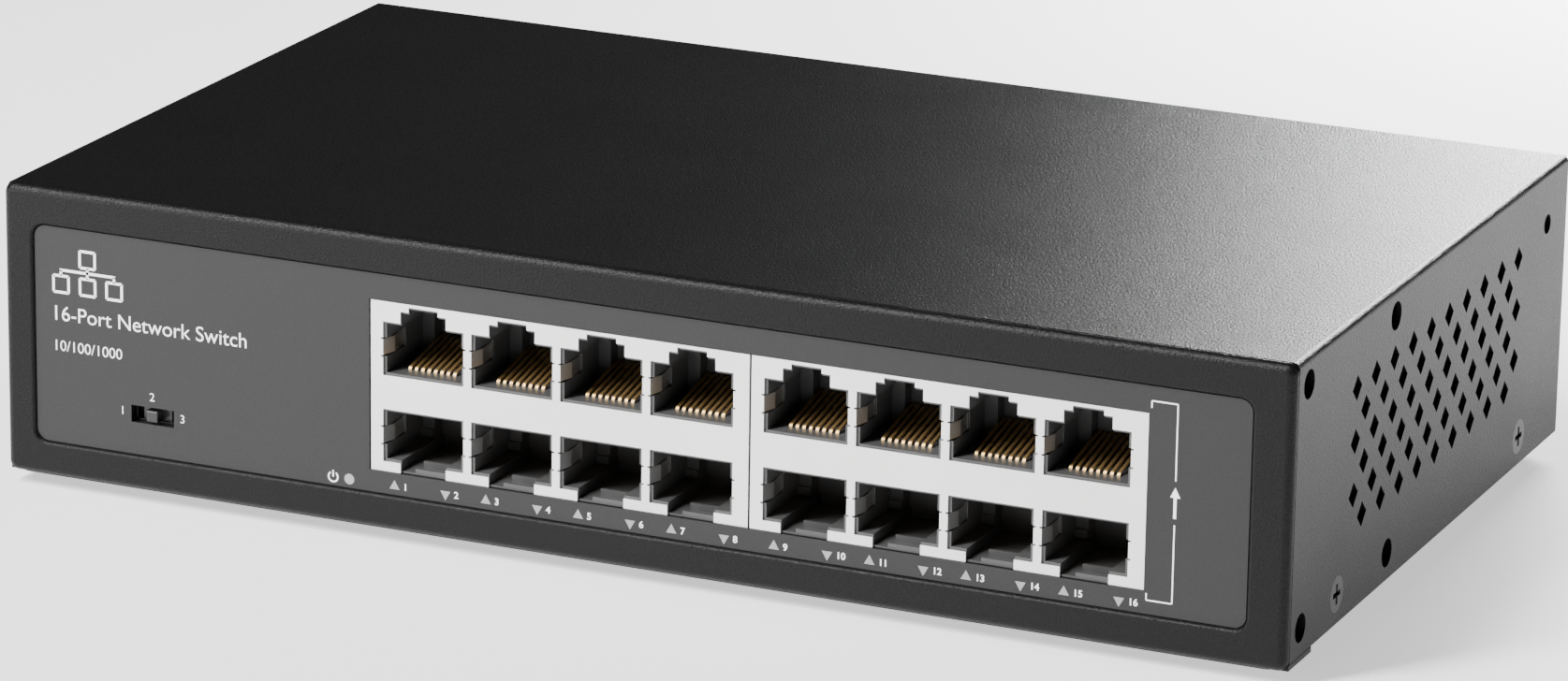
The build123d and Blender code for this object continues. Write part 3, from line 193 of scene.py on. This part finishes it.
def moulding(name, colour, roughness, grain_scale=2600, strength=0.2):
    """Moulded plastic with a fine tool texture."""
    material, tree, shader = new_material(name)
    vector = object_coords(tree)
    grain = noise(tree, vector, grain_scale, 3.0, 0.55)
    cloud = noise(tree, vector, 120, 2.0)
    pale = tuple(min(1.0, c * 1.25 + 0.002) for c in colour)
    tree.links.new(ramp(tree, cloud, [(0.3, colour), (0.7, pale)]), shader.inputs["Base Color"])
    tree.links.new(map_range(tree, grain, roughness - 0.05, roughness + 0.05), shader.inputs["Roughness"])
    bump(tree, shader, grain, strength, 0.00004)
    return material


def circuit_board():
    """Green solder mask with copper areas showing through as paler blocks."""
    material, tree, shader = new_material("circuit_board")
    vector = object_coords(tree)
    cells = tree.nodes.new("ShaderNodeTexVoronoi")
    cells.distance = "CHEBYCHEV"
    cells.inputs["Scale"].default_value = 260
    tree.links.new(vector, cells.inputs["Vector"])
    mask, copper = (0.01, 0.09, 0.035), (0.02, 0.17, 0.06)
    colour = ramp(tree, cells.outputs["Distance"], [(0.25, mask), (0.45, copper)])
    tree.links.new(colour, shader.inputs["Base Color"])
    shader.inputs["Roughness"].default_value = 0.3
    bump(tree, shader, cells.outputs["Distance"], 0.15, 0.00005)
    return material


def build_materials():
    """One material per slot of the record, and the printed ink."""
    made = {
        "case_paint": powder_coat(),
        "label_film": label_film(),
        "window_film": moulding("window_film", (0.26, 0.26, 0.265), 0.35),
        "foot_rubber": moulding("foot_rubber", (0.012, 0.012, 0.012), 0.75, 900, 0.4),
        "screw_black": plated_metal("screw_black", (0.04, 0.04, 0.04), 0.34),
        "zinc_steel": plated_metal("zinc_steel", (0.62, 0.62, 0.6), 0.3),
        "circuit_board": circuit_board(),
        "lamp_body": moulding("lamp_body", (0.75, 0.75, 0.68), 0.3),
        "plated_shield": plated_metal("plated_shield", (0.86, 0.86, 0.85), 0.36),
        "black_moulding": moulding("black_moulding", (0.05, 0.05, 0.05), 0.4),
        "gilt_contact": plated_metal("gilt_contact", (0.72, 0.48, 0.20), 0.48),
        "lever_plastic": moulding("lever_plastic", (0.010, 0.010, 0.010), 0.3),
        "chip_epoxy": moulding("chip_epoxy", (0.02, 0.02, 0.02), 0.55),
        "sink_aluminium": plated_metal("sink_aluminium", (0.7, 0.7, 0.71), 0.35),
        "can_sleeve": moulding("can_sleeve", (0.012, 0.015, 0.06), 0.25),
        "header_nylon": moulding("header_nylon", (0.75, 0.72, 0.62), 0.4),
        "pin_brass": plated_metal("pin_brass", (0.78, 0.72, 0.6), 0.22),
        "clear_film": moulding("clear_film", (0.45, 0.45, 0.42), 0.2),
        "tape_yellow": moulding("tape_yellow", (0.75, 0.52, 0.03), 0.3),
        "fuse_plastic": moulding("fuse_plastic", (0.2, 0.05, 0.02), 0.3),
        "copper_winding": plated_metal("copper_winding", (0.75, 0.32, 0.12), 0.25),
        "lead_brown": moulding("lead_brown", (0.12, 0.04, 0.015), 0.35),
        "lead_blue": moulding("lead_blue", (0.02, 0.08, 0.4), 0.35),
        "lead_red": moulding("lead_red", (0.4, 0.02, 0.02), 0.35),
        "lead_green": moulding("lead_green", (0.08, 0.35, 0.06), 0.35),
        # the printed pieces wear this ink
        "white_ink": moulding("white_ink", (0.97, 0.97, 0.97), 0.45),
    }
    return made


materials = build_materials()


def dress_nodes():
    """Gives every CAD node its slot's material."""
    for part in frame["record"]["subparts"]:
        shown = frame["nodes"][part["node"]]
        shown.data.materials.clear()
        shown.data.materials.append(materials[part["material_slot"]])


dress_nodes()

# ---------------------------------------------------------------- print on the label
label_low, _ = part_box("front_label")
windows_low, windows_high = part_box("led_windows")
_, jacks_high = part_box("jack_shield_right")
PRINT_THICK = 0.02 * MM
print_y = label_low[1]


def flat_piece(name, shapes, material):
    """Thin printed shapes on the label, from closed outlines in X and Z."""
    mesh = bpy.data.meshes.new(name)
    bm = bmesh.new()
    for shape in shapes:
        front = [bm.verts.new((x, print_y - PRINT_THICK, z)) for x, z in shape]
        back = [bm.verts.new((x, print_y, z)) for x, z in shape]
        bm.faces.new(front)
        bm.faces.new(back[::-1])
        for i in range(len(shape)):
            j = (i + 1) % len(shape)
            bm.faces.new((front[i], front[j], back[j], back[i]))
    bmesh.ops.recalc_face_normals(bm, faces=bm.faces)
    bm.to_mesh(mesh)
    bm.free()
    piece = bpy.data.objects.new(name, mesh)
    bpy.context.collection.objects.link(piece)
    mesh.materials.append(material)
    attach(piece, "case")
    return piece


def bar(x0, z0, x1, z1, width):
    """A straight printed line."""
    start, end = Vector((x0, z0)), Vector((x1, z1))
    along = (end - start).normalized()
    across = Vector((-along.y, along.x)) * width / 2
    return [tuple(start + across), tuple(end + across), tuple(end - across), tuple(start - across)]


def arc_band(x, z, radius, width, start, end, steps=20):
    """A printed ring or part of one, angles in degrees."""
    angles = [math.radians(start + (end - start) * i / steps) for i in range(steps + 1)]
    shapes = []
    for a, b in zip(angles, angles[1:]):
        inner, outer = radius - width / 2, radius + width / 2
        shapes.append([(x + outer * math.cos(a), z + outer * math.sin(a)),
                       (x + outer * math.cos(b), z + outer * math.sin(b)),
                       (x + inner * math.cos(b), z + inner * math.sin(b)),
                       (x + inner * math.cos(a), z + inner * math.sin(a))])
    return shapes


def lettering(name, words, material):
    """Generic text in the built-in typeface: (text, x, z, height, bold), left-aligned."""
    parts = []
    for text, x, z, height, bold in words:
        curve = bpy.data.curves.new(name, "FONT")
        curve.body = text
        curve.size = height / 0.7
        curve.offset = height * (0.035 if bold else 0.0)
        curve.extrude = PRINT_THICK / 2
        curve.align_x = "LEFT"
        curve.resolution_u = 6
        letters = bpy.data.objects.new(name, curve)
        bpy.context.collection.objects.link(letters)
        letters.matrix_world = (Matrix.Translation((x, print_y - PRINT_THICK / 2, z))
                                @ Matrix.Rotation(math.radians(90), 4, "X"))
        bpy.context.view_layer.update()
        shown = letters.evaluated_get(bpy.context.evaluated_depsgraph_get())
        mesh = bpy.data.meshes.new_from_object(shown)
        mesh.transform(letters.matrix_world)
        parts.append(mesh)
        bpy.data.objects.remove(letters)
    bm = bmesh.new()
    for mesh in parts:
        bm.from_mesh(mesh)
        bpy.data.meshes.remove(mesh)
    joined = bpy.data.meshes.new(name)
    bm.to_mesh(joined)
    bm.free()
    piece = bpy.data.objects.new(name, joined)
    bpy.context.collection.objects.link(piece)
    joined.materials.clear()
    joined.materials.append(material)
    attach(piece, "case")
    return piece


# indicator windows, read from the frame: their middles from left to right
def window_middles():
    """The middles of the separate windows in led_windows."""
    mesh = frame["nodes"]["led_windows"].data
    bm = bmesh.new()
    bm.from_mesh(mesh)
    bmesh.ops.remove_doubles(bm, verts=bm.verts, dist=1e-7)
    left = set(bm.verts)
    found = []
    while left:
        stack = [left.pop()]
        group = list(stack)
        while stack:
            for edge in stack.pop().link_edges:
                for vert in edge.verts:
                    if vert in left:
                        left.remove(vert)
                        group.append(vert)
                        stack.append(vert)
        xs = [v.co.x for v in group]
        found.append((min(xs) + max(xs)) / 2)
    bm.free()
    return sorted(found)


window_x = window_middles()
window_z = (windows_low[2] + windows_high[2]) / 2
case_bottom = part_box("base_pan")[0][2]


def label_z(height):
    """A level on the label, from the case's underside."""
    return case_bottom + height * MM


switch_low, switch_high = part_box("switch_lever")
switch_x = (switch_low[0] + switch_high[0]) / 2
switch_z = (switch_low[2] + switch_high[2]) / 2
label_left = label_low[0]

# numbers beside the link windows
NUMBER_HEIGHT = 1.0 * MM
NUMBER_STEP = 1.4 * MM     # from a window's middle to its number
NUMBER_LIFT = 0.1 * MM
number_z = window_z - NUMBER_HEIGHT / 2 + NUMBER_LIFT
numbers = []
for index, x in enumerate(window_x[1:]):
    numbers.append((str(index + 1), x + NUMBER_STEP, number_z, NUMBER_HEIGHT, True))
lettering("print_port_numbers", numbers, materials["white_ink"])

# positions of the mode switch
MODE_HEIGHT = 1.25 * MM
MODE_LEFT = -5.4 * MM      # left edges of the three numbers, from the lever's middle
MODE_MIDDLE = -0.5 * MM
MODE_RIGHT = 4.5 * MM
MODE_LOW = -0.35 * MM      # their baselines, beside and above the lever
MODE_HIGH = 2.3 * MM
lettering("print_mode_numbers", [
    ("1", switch_x + MODE_LEFT, switch_z + MODE_LOW, MODE_HEIGHT, False),
    ("2", switch_x + MODE_MIDDLE, switch_z + MODE_HIGH, MODE_HEIGHT, False),
    ("3", switch_x + MODE_RIGHT, switch_z + MODE_LOW, MODE_HEIGHT, False),
], materials["white_ink"])

# plain description of the object, in two lines: left edge, baseline above the case's underside, height
TITLE_LEFT, TITLE_LEVEL, TITLE_HEIGHT = 2.6 * MM, 24.1, 2.25 * MM
SPEED_LEFT, SPEED_LEVEL, SPEED_HEIGHT = 2.8 * MM, 19.5, 1.6 * MM
lettering("print_description", [
    ("16-Port Network Switch", label_left + TITLE_LEFT, label_z(TITLE_LEVEL), TITLE_HEIGHT, False),
    ("10/100/1000", label_left + SPEED_LEFT, label_z(SPEED_LEVEL), SPEED_HEIGHT, False),
], materials["white_ink"])


def tree_symbol(x, z):
    """A plain network tree: one box above three, joined by lines."""
    line, box = 0.42 * MM, 2.5 * MM
    shapes = []

    def square(cx, cz):
        half = box / 2
        shapes.extend([bar(cx - half, cz + half, cx + half, cz + half, line),
                       bar(cx - half, cz - half, cx + half, cz - half, line),
                       bar(cx - half, cz - half, cx - half, cz + half, line),
                       bar(cx + half, cz - half, cx + half, cz + half, line)])

    low_z, high_z, mid_z = z + box / 2, z + 5.4 * MM, z + 3.4 * MM
    step = 4.4 * MM
    square(x + step, high_z)
    for k in range(3):
        square(x + k * step, low_z)
        shapes.append(bar(x + k * step, low_z + box / 2, x + k * step, mid_z, line))
    shapes.append(bar(x - line / 2, mid_z, x + 2 * step + line / 2, mid_z, line))
    shapes.append(bar(x + step, mid_z, x + step, high_z - box / 2, line))
    return shapes


SYMBOL_LEFT, SYMBOL_LEVEL = 4.3 * MM, 28.4
symbol_shapes = tree_symbol(label_left + SYMBOL_LEFT, label_z(SYMBOL_LEVEL))
flat_piece("print_symbol", symbol_shapes, materials["white_ink"])


def power_symbol(x, z, radius):
    """The standard power sign: an open ring with a bar."""
    width = 0.26 * MM
    shapes = arc_band(x, z, radius, width, 125, 415)
    shapes.append(bar(x, z, x, z + radius + 0.25 * MM, width))
    return shapes


POWER_STEP = 2.6 * MM      # from the power window's middle to its sign
POWER_RADIUS = 0.75 * MM
power_shapes = power_symbol(window_x[0] - POWER_STEP, window_z, POWER_RADIUS)
flat_piece("print_power", power_shapes, materials["white_ink"])


BRACKET_GAP = 0.45 * MM    # from the sockets to the bracket
BRACKET_WIDTH = 3.8 * MM
BRACKET_LINE = 0.22 * MM
BRACKET_HOOK = 1.0 * MM    # its ends turn back towards the middle by this much
ARROW_HEAD = 1.5 * MM
ARROW_HALF = 0.75 * MM
ARROW_SHAFT = 0.45 * MM


def uplink_bracket():
    """A thin bracket beside the last sockets, with an arrow in its gap."""
    left = jacks_high[0] + BRACKET_GAP
    right = left + BRACKET_WIDTH
    top, bottom = label_z(36.1), label_z(7.4)
    gap_top, gap_bottom = label_z(25.1), label_z(18.8)
    tip, tail = label_z(24.2), label_z(19.7)
    neck = tip - ARROW_HEAD
    shapes = [bar(left, top - BRACKET_HOOK, left, top, BRACKET_LINE),
              bar(left, top, right, top, BRACKET_LINE),
              bar(right, top, right, gap_top, BRACKET_LINE),
              bar(right, gap_bottom, right, bottom, BRACKET_LINE),
              bar(right, bottom, left, bottom, BRACKET_LINE),
              bar(left, bottom, left, bottom + BRACKET_HOOK, BRACKET_LINE)]
    shapes.append([(right - ARROW_HALF, neck), (right + ARROW_HALF, neck), (right, tip)])
    shapes.append(bar(right, tail, right, neck, ARROW_SHAFT))
    return shapes


flat_piece("print_uplink", uplink_bracket(), materials["white_ink"])

# ---------------------------------------------------------------- floor and light
FLOOR_RADIUS = 6.0
FLOOR_DROP = 0.05 * MM     # just under the feet
FLOOR_GLOW = 0.85
WORLD_LEVEL = 0.03


def make_floor():
    mesh = bpy.data.meshes.new("floor")
    bm = bmesh.new()
    bmesh.ops.create_circle(bm, cap_ends=True, segments=96, radius=FLOOR_RADIUS)
    bm.to_mesh(mesh)
    bm.free()
    floor = bpy.data.objects.new("floor", mesh)
    bpy.context.collection.objects.link(floor)
    floor.location.z = -FLOOR_DROP
    material, tree, shader = new_material("floor")
    grain = noise(tree, object_coords(tree), 4, 2.0)
    colour = ramp(tree, grain, [(0.3, (0.86, 0.86, 0.86)), (0.7, (0.90, 0.90, 0.90))])
    tree.links.new(colour, shader.inputs["Base Color"])
    shader.inputs["Roughness"].default_value = 0.7
    shader.inputs["Emission Color"].default_value = (1, 1, 1, 1)
    shader.inputs["Emission Strength"].default_value = FLOOR_GLOW
    mesh.materials.append(material)


def area_light(name, place, aim, size, power):
    """A soft rectangular light aimed at a point."""
    data = bpy.data.lights.new(name, "AREA")
    data.shape = "RECTANGLE"
    data.size, data.size_y = size
    data.energy = power
    light = bpy.data.objects.new(name, data)
    bpy.context.collection.objects.link(light)
    light.location = place
    light.rotation_mode = "QUATERNION"
    light.rotation_quaternion = (Vector(aim) - Vector(place)).to_track_quat("-Z", "Y")
    light.visible_camera = False


def make_world(level):
    world = bpy.data.worlds.new("studio")
    bpy.context.scene.world = world
    world.use_nodes = True
    background = world.node_tree.nodes["Background"]
    background.inputs["Color"].default_value = (1, 1, 1, 1)
    background.inputs["Strength"].default_value = level


make_floor()
make_world(WORLD_LEVEL)
area_light("back_low", (0.03, 0.42, 0.15), (0.09, 0.05, 0.045), (0.14, 0.07), 3.2)
area_light("front_left", (-0.75, -0.95, 0.22), (-0.05, -0.06, 0.02), (0.5, 0.3), 8)
area_light("front_high", (-0.46, -0.68, 0.96), (-0.05, -0.06, 0.045), (0.24, 0.8), 36)
